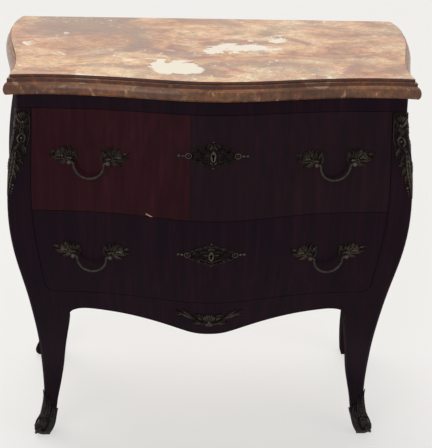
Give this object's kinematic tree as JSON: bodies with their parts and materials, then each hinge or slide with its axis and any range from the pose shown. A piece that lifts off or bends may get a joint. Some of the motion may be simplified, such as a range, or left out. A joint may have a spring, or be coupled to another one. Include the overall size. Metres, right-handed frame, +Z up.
{
  "type": "chest of drawers",
  "caption": "Bombe chest with sliding drawers, hinged bail handles, drawer locks, cast bronze mounts and a moulded stone top on cabriole legs.",
  "frame": {"origin": "centre of the bounding box on the floor", "axes": "+Z up, front with the drawers towards -Y, +X to the right seen from the front"},
  "size_m": [0.8668, 0.4626, 0.86],
  "materials": {
    "marble": "polished",
    "veneer": "french polished",
    "oak": "unpolished",
    "bronze": "patinated",
    "iron": "dull"
  },
  "bodies": {
    "case": {"marble_top": "marble", "front_left_leg_post": "veneer", "front_right_leg_post": "veneer", "rear_left_leg_post": "veneer", "rear_right_leg_post": "veneer", "left_side_panel": "veneer", "right_side_panel": "veneer", "frieze_rail": "veneer", "middle_rail": "oak", "lower_rail": "oak", "front_apron": "veneer", "top_back_rail": "oak", "middle_back_rail": "oak", "lower_back_rail": "oak", "back_panel": "oak", "upper_left_runner": "oak", "upper_right_runner": "oak", "lower_left_runner": "oak", "lower_right_runner": "oak", "kickers": "oak", "drawer_guides": "oak", "drawer_stops": "oak", "glue_blocks": "oak", "back_panel_screws": "iron", "left_corner_mount": "bronze", "right_corner_mount": "bronze", "left_sabot": "bronze", "right_sabot": "bronze", "apron_mount": "bronze"},
    "upper_drawer": {"upper_drawer_front": "veneer", "upper_drawer_left_side": "oak", "upper_drawer_right_side": "oak", "upper_drawer_back": "oak", "upper_drawer_bottom": "oak", "upper_lock_case": "iron", "upper_escutcheon": "bronze", "upper_left_handle_outer_plate": "bronze", "upper_left_handle_inner_plate": "bronze", "upper_right_handle_inner_plate": "bronze", "upper_right_handle_outer_plate": "bronze", "upper_handle_nuts": "iron"},
    "upper_left_pull": {"upper_left_bail": "bronze"},
    "upper_right_pull": {"upper_right_bail": "bronze"},
    "upper_bolt": {"upper_lock_bolt": "iron"},
    "lower_drawer": {"lower_drawer_front": "veneer", "lower_drawer_left_side": "oak", "lower_drawer_right_side": "oak", "lower_drawer_back": "oak", "lower_drawer_bottom": "oak", "lower_lock_case": "iron", "lower_escutcheon": "bronze", "lower_left_handle_outer_plate": "bronze", "lower_left_handle_inner_plate": "bronze", "lower_right_handle_inner_plate": "bronze", "lower_right_handle_outer_plate": "bronze", "lower_handle_nuts": "iron"},
    "lower_left_pull": {"lower_left_bail": "bronze"},
    "lower_right_pull": {"lower_right_bail": "bronze"},
    "lower_bolt": {"lower_lock_bolt": "iron"}
  },
  "joints": [
    {"name": "upper_drawer_slide", "type": "slide", "parent": "case", "child": "upper_drawer", "axis": [0, -1, 0], "range_m": [0, 0.28]},
    {"name": "upper_left_pull_hinge", "type": "hinge", "parent": "upper_drawer", "child": "upper_left_pull", "pos_m": [-0.232, -0.19261, 0.702], "axis": [-0.996, 0.0894, 0], "range_deg": [0, 100]},
    {"name": "upper_right_pull_hinge", "type": "hinge", "parent": "upper_drawer", "child": "upper_right_pull", "pos_m": [0.232, -0.19261, 0.702], "axis": [-0.996, -0.0894, 0], "range_deg": [0, 100]},
    {"name": "upper_bolt_slide", "type": "slide", "parent": "upper_drawer", "child": "upper_bolt", "axis": [0, 0, 1], "range_m": [0, 0.008]},
    {"name": "lower_drawer_slide", "type": "slide", "parent": "case", "child": "lower_drawer", "axis": [0, -1, 0], "range_m": [0, 0.28]},
    {"name": "lower_left_pull_hinge", "type": "hinge", "parent": "lower_drawer", "child": "lower_left_pull", "pos_m": [-0.232, -0.19975, 0.506], "axis": [-0.9944, 0.1054, 0], "range_deg": [0, 100]},
    {"name": "lower_right_pull_hinge", "type": "hinge", "parent": "lower_drawer", "child": "lower_right_pull", "pos_m": [0.232, -0.19975, 0.506], "axis": [-0.9944, -0.1054, 0], "range_deg": [0, 100]},
    {"name": "lower_bolt_slide", "type": "slide", "parent": "lower_drawer", "child": "lower_bolt", "axis": [0, 0, 1], "range_m": [0, 0.008]}
  ]
}
